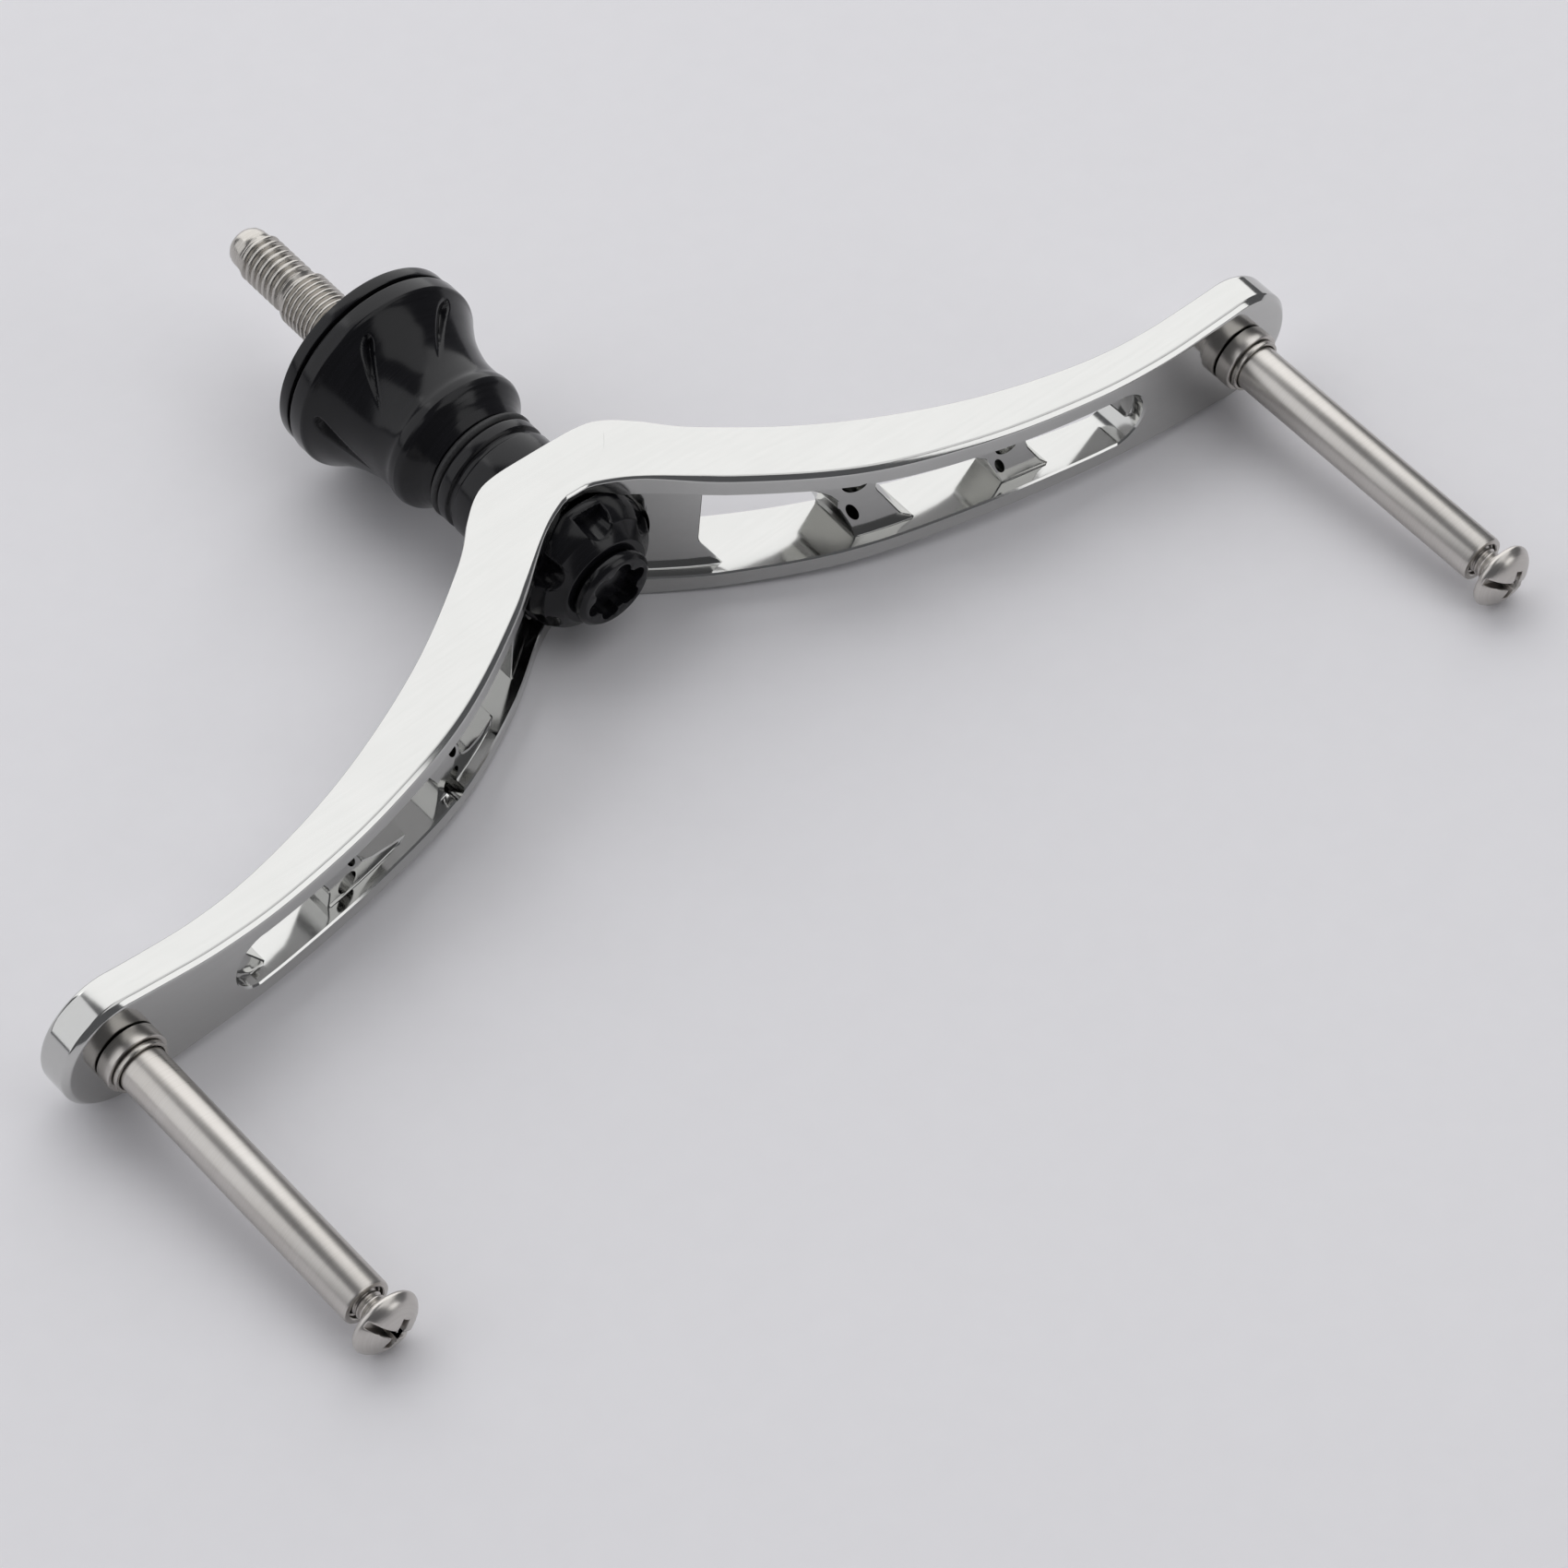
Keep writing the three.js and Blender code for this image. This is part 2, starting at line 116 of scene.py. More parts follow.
def metal(name, dark, light, rough, grain, bump, metallic=1.0, shine=0.5):
    """A metal whose grain runs with the tool. grain is the noise stretch along X, Y and Z."""
    material, node = new_material(name)
    place = node("ShaderNodeTexCoord").outputs["Object"]
    stretched = node("ShaderNodeMapping", {"Vector": place, "Scale": grain}).outputs["Vector"]
    lines = node(
        "ShaderNodeTexNoise", {"Vector": stretched, "Scale": 1.0, "Detail": 4.0, "Roughness": 0.6}
    ).outputs["Fac"]
    cloud = node(
        "ShaderNodeTexNoise", {"Vector": place, "Scale": MOTTLING, "Detail": 3.0, "Roughness": 0.5}
    ).outputs["Fac"]
    both = node("ShaderNodeMix", {0: CLOUD_SHARE, 2: lines, 3: cloud}).outputs[0]
    colour = ramp_between(node, both, NOISE_LOW, NOISE_HIGH, dark, light)
    roughness = node(
        "ShaderNodeMapRange",
        {
            "Value": both,
            "From Min": NOISE_LOW,
            "From Max": NOISE_HIGH,
            "To Min": rough[0],
            "To Max": rough[1],
        },
    )
    height = node("ShaderNodeBump", {"Height": lines, "Strength": bump, "Distance": BUMP_HEIGHT})
    surface = node(
        "ShaderNodeBsdfPrincipled",
        {
            "Base Color": colour,
            "Metallic": metallic,
            "Roughness": roughness.outputs["Result"],
            "Normal": height.outputs["Normal"],
            "Specular IOR Level": shine,
        },
    )
    node("ShaderNodeOutputMaterial", {"Surface": surface.outputs["BSDF"]})
    return material


# %% [markdown]
# The arm's aluminium is nearly a mirror. Its hair lines run along the wings, so the noise is squeezed
# across them. The turned steels have their grain around the Y axis: noise that changes quickly along Y
# and slowly across it gives rings. The black pieces are aluminium too, but what shows is a hard dyed
# layer. It doesn't shine like metal, so there the metal setting is off and the gloss is low.

# %% The metals
polished = metal(
    "polished aluminium",
    dark=(0.525, 0.525, 0.513),
    light=(0.555, 0.555, 0.543),
    rough=(0.09, 0.12),
    grain=(60, 2600, 2600),
    bump=0.03,
)
satin = metal(
    "turned stainless steel",
    dark=(0.50, 0.475, 0.445),
    light=(0.60, 0.58, 0.555),
    rough=(0.27, 0.32),
    grain=(90, 9000, 90),
    bump=0.07,
)
threaded = metal(
    "threaded stainless steel",
    dark=(0.42, 0.40, 0.37),
    light=(0.56, 0.54, 0.51),
    rough=(0.22, 0.32),
    grain=(300, 7000, 300),
    bump=0.2,
)
anodised = metal(
    "black anodised aluminium",
    dark=(0.004, 0.004, 0.005),
    light=(0.010, 0.010, 0.012),
    rough=(0.13, 0.22),
    grain=(120, 5200, 120),
    bump=0.14,
    metallic=0.0,
    shine=0.3,
)
print("metals:", [m.name for m in (polished, satin, threaded, anodised)])

# %% [markdown]
# The seal in the groove under the disc and the O-ring at the neck are rubber: dark, soft to the light,
# with a fine mould grain. A bump from a small noise is enough, since nobody sees a single grain.

# %% Rubber
rubber, rubber_node = new_material("black rubber")
rubber_place = rubber_node("ShaderNodeTexCoord").outputs["Object"]
rubber_grain = rubber_node(
    "ShaderNodeTexNoise", {"Vector": rubber_place, "Scale": 5200.0, "Detail": 3.0}
)
rubber_colour = ramp_between(
    rubber_node, rubber_grain.outputs["Fac"], 0.35, 0.65, (0.010, 0.010, 0.011), (0.022, 0.022, 0.023)
)
rubber_bump = rubber_node(
    "ShaderNodeBump", {"Height": rubber_grain.outputs["Fac"], "Strength": 0.4, "Distance": 0.00003}
)
rubber_surface = rubber_node(
    "ShaderNodeBsdfPrincipled",
    {"Base Color": rubber_colour, "Roughness": 0.55, "Normal": rubber_bump.outputs["Normal"]},
)
rubber_node("ShaderNodeOutputMaterial", {"Surface": rubber_surface.outputs["BSDF"]})

# %% [markdown]
# ## Turned pieces
#
# Everything on the hub and on the posts came off a lathe. A lathe piece is one outline carried around
# an axis, here the Y axis. Blender can spin an outline for us, but writing the rings ourselves lets the
# radius change on the way round, and that gives threads and flutes with no cutting at all.


# %% From outline to turned piece
def piece(name, verts, faces, material=None, node=None):
    """A mesh from points in millimetres. With a node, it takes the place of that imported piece."""
    mesh = bpy.data.meshes.new(name)
    mesh.from_pydata([tuple(c * MM for c in v) for v in verts], [], faces)
    solid = bmesh.new()
    solid.from_mesh(mesh)
    bmesh.ops.recalc_face_normals(solid, faces=solid.faces)
    solid.to_mesh(mesh)
    solid.free()
    made = bpy.data.objects.new(name, mesh)
    bpy.context.scene.collection.objects.link(made)
    if material is not None:
        mesh.materials.append(material)
    if node is not None:
        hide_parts(node)
        made["stands_for"] = node
    return made


def soften(path, radius=0.08, steps=3):
    """The same outline with its sharp corners rounded off, as a file or a tumbler leaves them."""
    closed = path[0] == path[-1]
    points = [Vector(p) for p in (path[:-1] if closed else path)]
    out = []
    for i, here in enumerate(points):
        before = points[i - 1]
        after = points[(i + 1) % len(points)]
        at_end = not closed and i in (0, len(points) - 1)
        if at_end or (here - before).angle(after - here, 0) < math.radians(20):
            out.append(tuple(here))
            continue
        back = min(radius, 0.4 * (here - before).length, 0.4 * (after - here).length)
        start = here + (before - here).normalized() * back
        end = here + (after - here).normalized() * back
        for step in range(steps + 1):
            t = step / steps
            out.append(tuple(start * (1 - t) ** 2 + here * 2 * t * (1 - t) + end * t**2))
    return out + [out[0]] if closed else out


def turned(name, path, material=None, node=None, around=96, reshape=None, x=0.0):
    """Carries the outline (radius, y) around the Y axis. reshape may change the radius on the way."""
    closed = path[0] == path[-1]
    rows = path[:-1] if closed else path
    verts = []
    rings = []
    for r, y in rows:
        if r == 0:
            verts.append((x, y, 0.0))
            rings.append([len(verts) - 1] * around)
            continue
        ring = []
        for step in range(around):
            angle = 2 * math.pi * step / around
            radius = reshape(angle, r, y) if reshape else r
            ring.append(len(verts))
            verts.append((x + radius * math.cos(angle), y, radius * math.sin(angle)))
        rings.append(ring)
    pairs = list(zip(rings, rings[1:] + ([rings[0]] if closed else [])))
    faces = []
    for low, high in pairs:
        for step in range(around):
            other = (step + 1) % around
            corners = [low[step], low[other], high[other], high[step]]
            distinct = list(dict.fromkeys(corners))
            if len(distinct) > 2:
                faces.append(distinct)
    return piece(name, verts, faces, material, node)


def shade(obj, sharp=32):
    """Smooth shading, but with an edge kept sharp where the surface turns by more than the angle."""
    mesh = obj.data
    mesh.shade_smooth()
    solid = bmesh.new()
    solid.from_mesh(mesh)
    for edge in solid.edges:
        edge.smooth = len(edge.link_faces) != 2 or edge.calc_face_angle(0) < math.radians(sharp)
    solid.to_mesh(mesh)
    solid.free()
    return obj


# %% [markdown]
# ## The seat disc and its seal
#
# The disc's outer face sits against the reel. Below it a thin dark seal fills a groove, and below that
# begins the flared rim of the shank. Each is its own piece, so each is turned on its own.

# %% Disc, seal
STUD_BORE = 2.5
DISC_R = 8.65
SEAL_R = 8.25


def ring_outline(inner, outer, low, high):
    """The closed outline of a flat ring, for the lathe."""
    return [(inner, low), (outer, low), (outer, high), (inner, high), (inner, low)]


disc_outline = soften(ring_outline(STUD_BORE, DISC_R, -1.05, 0), 0.15)
seat_disc = shade(turned("seat_disc_skin", disc_outline, anodised, "seat_disc", around=180))
seal_outline = soften(ring_outline(STUD_BORE, SEAL_R, -1.4, -1.15), 0.08)
groove_seal = shade(turned("groove_seal_skin", seal_outline, rubber, "groove_seal", around=180))
print("disc faces:", len(seat_disc.data.polygons), "seal faces:", len(groove_seal.data.polygons))

# %% [markdown]
# ## The flared shank
#
# The shank swells from its barrel to the rim like a bell. Six flutes are milled into the bell. They are
# wide and deep by the rim, run slanted around it, and end in a point at the waist. Between them the
# metal keeps a soft ridge. Both are a change of the radius, so the lathe helper can make them in one go,
# as long as there are enough rows and steps for a crisp flute.

# %% Shank with its flutes
FLUTES = 6
FLUTE_STEP = 360 / FLUTES
FLUTE_MID = 67.0  # degrees around the axis at FLUTE_MID_Y
FLUTE_MID_Y = -6.0
FLUTE_LEAN = 7.0  # degrees around for every millimetre along
FLUTE_POINT_Y = -8.4
FLUTE_ROUND_Y = -3.75
FLUTE_LENGTH = FLUTE_ROUND_Y - FLUTE_POINT_Y
FLUTE_HALF = 0.80
FLUTE_DEEP = 0.80
FLUTE_TAPER = 0.75  # how the width grows from the point
FLUTE_WALL = 0.85  # how the depth falls off towards the side
BELL_LOW_Y, BELL_HIGH_Y = -10.4, -2.95
RIDGE_HIGH_Y = -3.4
RIDGE_FADE = 1.6
RIDGE_HEIGHT = 0.07
BORE_LIMIT = 4  # smaller radii belong to the bore


def clamped(value):
    """The value, kept between nought and one."""
    return max(0.0, min(1.0, value))


def fluted(angle, r, y):
    """The radius of the bell at an angle, with flutes and the ridges between them."""
    if r < BORE_LIMIT or not BELL_LOW_Y < y < BELL_HIGH_Y:
        return r
    lean = FLUTE_MID - FLUTE_LEAN * (y - FLUTE_MID_Y)
    off = (math.degrees(angle) - lean) % FLUTE_STEP
    if off > FLUTE_STEP / 2:
        off -= FLUTE_STEP
    away = abs(math.radians(off)) * r
    fade = clamped((y - BELL_LOW_Y) / RIDGE_FADE) * clamped((RIDGE_HIGH_Y - y) / RIDGE_FADE)
    ridge = -RIDGE_HEIGHT * fade * (1 + math.cos(math.radians(off * FLUTES))) / 2
    along = (y - FLUTE_POINT_Y) / FLUTE_LENGTH
    if along <= 0 or along >= 1:
        return r + ridge
    half = FLUTE_HALF * along**FLUTE_TAPER
    left = (1 - along) * FLUTE_LENGTH
    if left < FLUTE_HALF:
        half *= math.sqrt(max(0.0, 1 - (1 - left / FLUTE_HALF) ** 2))
    if away >= half or half <= 0:
        return r + ridge
    deep = FLUTE_DEEP * along * min(1.0, half / FLUTE_HALF / along**FLUTE_TAPER + 0.2)
    return r + ridge - deep * (1 - away / half) ** FLUTE_WALL


BELL = [
    (4.75, -14.25), (5.05, -13.5), (5.4, -13.0), (5.8, -12.55), (6.2, -12.1), (6.37, -11.6),
    (6.34, -11.0), (6.2, -10.3), (6.24, -9.0), (6.4, -7.9), (6.75, -6.6), (7.2, -5.5), (7.75, -4.5),
    (8.35, -3.55), (8.7, -3.1),
]


def smooth_path(points, each=6):
    """A smooth curve through the points."""
    out = []
    for i in range(len(points) - 1):
        p0 = Vector(points[max(i - 1, 0)])
        p1 = Vector(points[i])
        p2 = Vector(points[i + 1])
        p3 = Vector(points[min(i + 2, len(points) - 1)])
        v0 = (p2 - p0) / 2
        v1 = (p3 - p1) / 2
        for step in range(each):
            t = step / each
            a = (2 * p1 - 2 * p2 + v0 + v1) * t**3
            b = (-3 * p1 + 3 * p2 - 2 * v0 - v1) * t**2
            out.append(tuple(a + b + v0 * t + p1))
    return out + [tuple(points[-1])]


bell_curve = smooth_path(BELL[1:6])[:-1] + smooth_path(BELL[5:], each=9)
rim = soften([(8.7, -3.1), (8.8, -2.9), (8.8, -1.6), (8.65, -1.5), (STUD_BORE, -1.5)], 0.1)[1:]
inside = [(STUD_BORE, -14.25), (4.75, -14.25)]
shank_body = shade(
    turned(
        "shank_skin",
        inside[:1] + soften(inside + BELL[1:2], 0.12)[1:-1] + bell_curve + rim + inside[:1],
        anodised,
        "shank_body",
        around=480,
        reshape=fluted,
    ),
    sharp=38,
)
print("shank faces:", len(shank_body.data.polygons))

# %% [markdown]
# ## The neck
#
# A plain sleeve joins the barrel to the arm, with a shallow ring cut around it. In the step at its top
# sits an O-ring, a round cord that shows as a soft black bead.

# %% Sleeve and O-ring
SLEEVE = [
    (STUD_BORE, -20.05), (5.05, -20.05), (5.05, -17.25), (4.7, -17.05), (4.7, -16.6), (5.05, -16.4),
    (5.05, -15.5), (4.95, -15.3), (4.2, -15.3), (4.2, -14.35), (STUD_BORE, -14.35), (STUD_BORE, -20.05),
]


def circle(r, y, radius, steps=24):
    """A round outline, closed, for a cord or a ring."""
    turns = [2 * math.pi * i / steps for i in range(steps)]
    loop = [(r + radius * math.cos(a), y + radius * math.sin(a)) for a in turns]
    return loop + loop[:1]


neck_sleeve = shade(turned("neck_sleeve_skin", soften(SLEEVE, 0.1), anodised, "neck_sleeve", around=144))
o_ring_outline = circle(4.72, -14.83, 0.4)
neck_o_ring = shade(
    turned("neck_o_ring_skin", o_ring_outline, rubber, "neck_o_ring", around=144), sharp=80
)
print("sleeve faces:", len(neck_sleeve.data.polygons), "O-ring faces:", len(neck_o_ring.data.polygons))

# %% [markdown]
# ## Threads
#
# A thread is a ridge that climbs one pitch in each turn. On the lathe grid that is a radius which
# depends on how far the point is along the pitch, shifted by its angle. The ridge gets a flat crest and
# a flat root, and it fades out over the first and the last turn the way a die leaves it.


# %% A radius that climbs like a thread
CREST_LIMIT = 0.02  # only the points on the crest line are bent
RUN_OUT = 0.6  # of a pitch, at each end
FLANK = 1.72  # how steep the flanks are
FLANK_MID = 1.5


def threading(spans):
    """A reshape for the lathe: spans lists (low, high, root radius, crest radius, pitch)."""

    def reshape(angle, r, y):
        for low, high, root, crest, pitch in spans:
            if low <= y <= high and abs(r - crest) < CREST_LIMIT:
                turn = ((y - low) / pitch + angle / (2 * math.pi)) % 1.0
                ridge = clamped(FLANK_MID - FLANK * abs(2 * turn - 1))
                rise = clamped(min(y - low, high - y) / (RUN_OUT * pitch))
                return root + (crest - root) * ridge * rise
        return r

    return reshape


def rows(radius, low, high, count):
    """Many short steps of one radius, so that a thread has something to bend."""
    return [(radius, low + (high - low) * i / count) for i in range(count + 1)]


STUD_THREAD = (0.15, 8.2, 2.14, 2.44, 0.5)
TIP_THREAD = (8.5, 13.97, 1.8, 2.13, 0.68)
STUD = [
    (0, -9.6), (1.9, -9.6), (1.9, -18.2), (2.3, -18.2), (2.3, -0.2), (2.1, 0.1),
    *rows(2.44, 0.15, 8.2, 210),
    (1.86, 8.3), (1.86, 8.42),
    *rows(2.13, 8.5, 13.97, 124),
    (1.85, 14.05), (1.83, 14.5), (1.8, 14.9), (1.68, 15.3), (1.4, 15.65), (1.05, 15.88), (0.6, 16.02),
    (0, 16.05),
]
drive_stud = shade(
    turned(
        "drive_stud_skin",
        STUD,
        threaded,
        "drive_stud",
        around=96,
        reshape=threading([STUD_THREAD, TIP_THREAD]),
    ),
    sharp=55,
)
print("stud faces:", len(drive_stud.data.polygons))

# %% [markdown]
# ## Knob posts, collars, shims and screws
#
# Each post is a stainless pin with a chamfered mouth. At its foot sits a collar, and on the collar a
# thin shim. A domed screw closes the end; it stands a little proud, so its thread shows. Its head
# takes a flat or a cross driver. The slots are cut with a Boolean, which takes one solid out of another.


# %% Cutting one solid out of another
def bake(obj):
    """Applies the piece's modifiers to its mesh."""
    graph = bpy.context.evaluated_depsgraph_get()
    mesh = bpy.data.meshes.new_from_object(obj.evaluated_get(graph))
    obj.modifiers.clear()
    obj.data = mesh
    return obj


def combine(obj, other, operation):
    """A Boolean of the piece with another one, which is thrown away."""
    change = obj.modifiers.new("boolean", "BOOLEAN")
    change.object = other
    change.operation = operation
    change.solver = "MANIFOLD"
    bake(obj)
    bpy.data.objects.remove(other)
    return obj


def carve(obj, cutters):
    """Takes every cutter out of the piece."""
    for cutter in cutters:
        combine(obj, cutter, "DIFFERENCE")
    return obj


def block(size, centre, turn):
    """A box for cutting with: its size and centre in millimetres, turned about the Y axis."""
    corners = [(sx, sy, sz) for sx in (-0.5, 0.5) for sy in (-0.5, 0.5) for sz in (-0.5, 0.5)]
    spin = Matrix.Rotation(math.radians(turn), 3, "Y")
    verts = [
        tuple(spin @ Vector((c[0] * size[0], c[1] * size[1], c[2] * size[2])) + Vector(centre))
        for c in corners
    ]
    faces = [(0, 1, 3, 2), (4, 6, 7, 5), (0, 4, 5, 1), (2, 3, 7, 6), (0, 2, 6, 4), (1, 5, 7, 3)]
    return piece("cutter", verts, faces)


MERGE = 0.012
SHORTEST = 0.001


def ease_edges(obj, picked, width, segments=2):
    """A bevel of a width, in millimetres, on the edges that are picked."""
    solid = bmesh.new()
    solid.from_mesh(obj.data)
    bmesh.ops.remove_doubles(solid, verts=solid.verts, dist=MERGE * MM)
    bmesh.ops.dissolve_degenerate(solid, edges=solid.edges, dist=SHORTEST * MM)
    layer = solid.edges.layers.float.new("bevel_weight_edge")
    counted = 0
    for edge in solid.edges:
        if len(edge.link_faces) == 2 and picked(edge):
            edge[layer] = 1.0
            counted += 1
    solid.to_mesh(obj.data)
    solid.free()
    change = obj.modifiers.new("bevel", "BEVEL")
    change.limit_method = "WEIGHT"
    change.width = width * MM
    change.segments = segments
    change.use_clamp_overlap = False
    bake(obj)
    return counted


def outside_corner(edge, least):
    """True for an edge that stands out by more than the angle."""
    return edge.is_convex and edge.calc_face_angle(0) > math.radians(least)


# %% Posts, collars, shims and screws
POST_X = 56.3
SCREW_TURN = {"left": 44, "right": 27}
SCREW_THREAD = (-72.28, -65.3, 1.0, 1.2, 0.45)
SCREW_FACE_Y = -72.9
LONG_SLOT = ((7, 2, 0.6), (0, -73.98, 0))
CROSS_SLOT = ((2.6, 2, 0.75), (0, -73.9, 0))
SLOT_EDGE = 0.07
COLLAR = soften(ring_outline(2.1, 2.7, -44.25, -42.8), 0.14)
SHIM = soften(ring_outline(2.1, 2.36, -44.75, -44.35), 0.06)
DOME = [(0, -74.2), (0.9, -74.12), (1.75, -73.85), (2.45, -73.4), (2.78, -72.98), (2.85, -72.75)]
SCREW = [
    *smooth_path(DOME, each=5), (2.83, -72.6), (2.72, -72.42), (2.6, -72.35), (1.25, -72.35),
    (1.2, -72.3), *rows(1.2, -72.28, -65.3, 250), (1.0, -65.25), (0.8, -65.2), (0, -65.2),
]
POST = [
    (0, -63.6), (1.4, -63.6), (1.4, -70.2), (1.5, -70.3), (1.5, -70.62), (1.58, -70.7), (1.82, -70.7),
    (1.94, -70.66), (2.0, -70.5), (2.0, -42.8), (1.5, -42.8), (1.5, -40.15), (2.3, -40.15),
    (2.3, -39.5), (2.22, -39.4), (1.9, -39.35), (0, -39.35),
]
for side, x in (("left", -POST_X), ("right", POST_X)):
    shade(turned(f"{side}_post_skin", POST, satin, f"{side}_post", x=x))
    shade(turned(f"{side}_collar_skin", COLLAR, satin, f"{side}_collar", x=x))
    shade(turned(f"{side}_shim_skin", SHIM, threaded, f"{side}_shim", x=x))
    screw = turned(
        f"{side}_knob_screw_skin",
        SCREW,
        satin,
        f"{side}_knob_screw",
        around=64,
        reshape=threading([SCREW_THREAD]),
        x=x,
    )
    slots = [block(*LONG_SLOT, SCREW_TURN[side]), block(*CROSS_SLOT, SCREW_TURN[side] + 90)]
    for cutter in slots:
        cutter.data.transform(Matrix.Translation((x * MM, 0, 0)))
    carve(screw, slots)
    eased = ease_edges(
        screw, lambda e: outside_corner(e, 40) and e.verts[0].co.y < SCREW_FACE_Y * MM, SLOT_EDGE
    )
    shade(screw, sharp=50)
    print(side, "screw faces:", len(screw.data.polygons), "eased edges:", eased)

# %% [markdown]
# ## The hub cap and its bolt
#
# The cap is a small black dome with six round bites out of its shoulder, so that it can be gripped.
# The bites are cut with Booleans, and the edges they leave get a narrow bevel: on the real piece those
# edges are where the light catches. The bolt's head has a wide recess with six lobes.

# %% Cap with its bites
cap_profile = [
    (1.85, -26.6), (1.85, -29.35), (3.15, -29.35), (3.15, -30.0), (4.0, -29.95), (4.35, -29.5),
    (5.3, -28.9), (5.85, -28.0), (6.1, -26.9), (6.1, -26.45), (5.7, -26.1), (3.3, -26.1), (3.3, -26.6),
    (1.85, -26.6),
]
hub_cap = turned("hub_cap_skin", soften(cap_profile, 0.1), anodised, "hub_cap", around=144)


def bite(radius, at, degrees, low, high):
    """A round cutter parallel to the Y axis, at a distance from it."""
    cutter = turned("cutter", [(0, low), (radius, low), (radius, high), (0, high)], around=48)
    angle = math.radians(degrees)
    cutter.data.transform(Matrix.Translation((at * MM * math.cos(angle), 0, at * MM * math.sin(angle))))
    return cutter


CAP_BITES = 6
BITE_R = 1.35
BITE_AT = 5.9
CAP_SHOULDER_R = 4.3
bites = [bite(BITE_R, BITE_AT, (i + 0.5) * 360 / CAP_BITES, -31, -27.2) for i in range(CAP_BITES)]
carve(hub_cap, bites)
eased = ease_edges(
    hub_cap,
    lambda e: outside_corner(e, 35) and e.verts[0].co.xz.length > CAP_SHOULDER_R * MM,
    0.14,
    segments=3,
)
shade(hub_cap, sharp=40)
print("cap faces:", len(hub_cap.data.polygons), "eased edges:", eased)

# %% Bolt with its six-lobed recess
bolt_profile = [
    (0, -31.3), (3.15, -31.3), (3.5, -30.95), (3.5, -30.45), (2.9, -30.05), (2.9, -29.5), (1.7, -29.5),
    (1.7, -10.9), (1.4, -10.6), (0, -10.6),
]
hub_bolt = turned("hub_bolt_skin", soften(bolt_profile, 0.1), anodised, "hub_bolt", around=144)
LOBES = 6
LOBE_R = 0.82
LOBE_AT = 1.98
CORE_R = 2.15
RECESS_TURN = 16
RECESS_Y = -30.1
BOLT_FACE_Y = -31.2
lobes = [bite(LOBE_R, LOBE_AT, RECESS_TURN + i * 360 / LOBES, -32, RECESS_Y) for i in range(LOBES)]
carve(hub_bolt, [bite(CORE_R, 0, 0, -32, RECESS_Y)] + lobes)
eased = ease_edges(
    hub_bolt, lambda e: outside_corner(e, 60) and e.verts[0].co.y < BOLT_FACE_Y * MM, 0.1
)
shade(hub_bolt, sharp=40)
print("bolt faces:", len(hub_bolt.data.polygons), "eased edges:", eased)

# %% [markdown]
# ## The arm
#
# The arm is milled from one bar. Seen from above it is a gull wing; seen along the posts it is a bow
# tie with round ends. The blank is built from both outlines at once. Then the recess on the knob side,
# the windows, the holes and the dish at the hub are taken out, each one a cut the milling machine made
# too.

# %% The two outlines
BACK_EDGE = [
    (3.4, -20.75), (5.3, -21.0), (6.8, -21.7), (8.6, -23.1), (12, -26.05), (20, -30.95), (30, -35.25),
    (40, -38.1), (48, -39.25), (58, -39.35),
]
FRONT_EDGE = [
    (1.2, -26.1), (4.6, -27.8), (11, -32.35), (20, -37.1), (30, -40.1), (40, -41.95), (47, -42.6),
    (54, -42.7),
]
HALF_HEIGHT = [
    (0, 7.15), (5, 7.1), (8.6, 6.85), (12, 6.5), (18, 5.9), (25, 5.3), (33, 4.85), (41, 4.75),
    (48, 4.93), (52, 5.24), (55.1, 5.51),
]
PADDLE_X = 56.1
PADDLE_R = 5.6
TIP_X = PADDLE_X + PADDLE_R


def arc(cx, cy, radius, start, stop, steps):
    """Points along a piece of a circle, angles in degrees."""
    turns = [math.radians(start + (stop - start) * i / steps) for i in range(steps + 1)]
    return [(cx + radius * math.cos(a), cy + radius * math.sin(a)) for a in turns]


def mirrored(points):
    """The same points on the other side of the hub, in the opposite order."""
    return [(-x, y) for x, y in reversed(points)]


top_curve = smooth_path(HALF_HEIGHT, 8)
round_end = arc(PADDLE_X, 0, PADDLE_R, 94, -94, 72)
right_side = top_curve + round_end + [(x, -z) for x, z in reversed(top_curve)]
side_outline = right_side + mirrored(right_side)[1:-1]
front_line = np.array([(0, -26.1)] + smooth_path(FRONT_EDGE, 12) + [(TIP_X + 1, -42.7)])
back_line = np.array([(0, -20.75)] + smooth_path(BACK_EDGE, 10) + [(TIP_X + 1, -39.35)])


def front_y(x):
    """The knob-side face of the arm at a distance from the hub."""
    return float(np.interp(abs(x), front_line[:, 0], front_line[:, 1]))


def back_y(x):
    """The reel-side face of the arm at a distance from the hub."""
    return float(np.interp(abs(x), back_line[:, 0], back_line[:, 1]))


print("outline points:", len(side_outline), "arm at the tip, mm:", round(back_y(60) - front_y(60), 2))


# %% [markdown]
# A polished arm has no knife edges: the knob side has a flat chamfer all round, the reel side a small
# rounding. A Bevel modifier tangles on edges made of hundreds of short pieces, so the solid is built
# with its chamfers. It is a sleeve: the bow-tie outline is repeated in rows from the knob side to the
# reel side, and each row is drawn in as far as the chamfer asks. The same sleeve, drawn outwards, makes
# cutters that leave a fine chamfer on the lips they cut.

# %% A sleeve with its own chamfers
def inward_normals(outline):
    """Unit vectors in the plane of the outline that point into it, one for each point."""
    points = [Vector(p) for p in outline]
    area = sum(points[i - 1].cross(points[i]) for i in range(len(points)))
    side = 1 if area > 0 else -1
    normals = []
    for i in range(len(points)):
        ahead = points[(i + 1) % len(points)] - points[i - 1]
        normals.append(Vector((-ahead.y, ahead.x)).normalized() * side)
    return normals


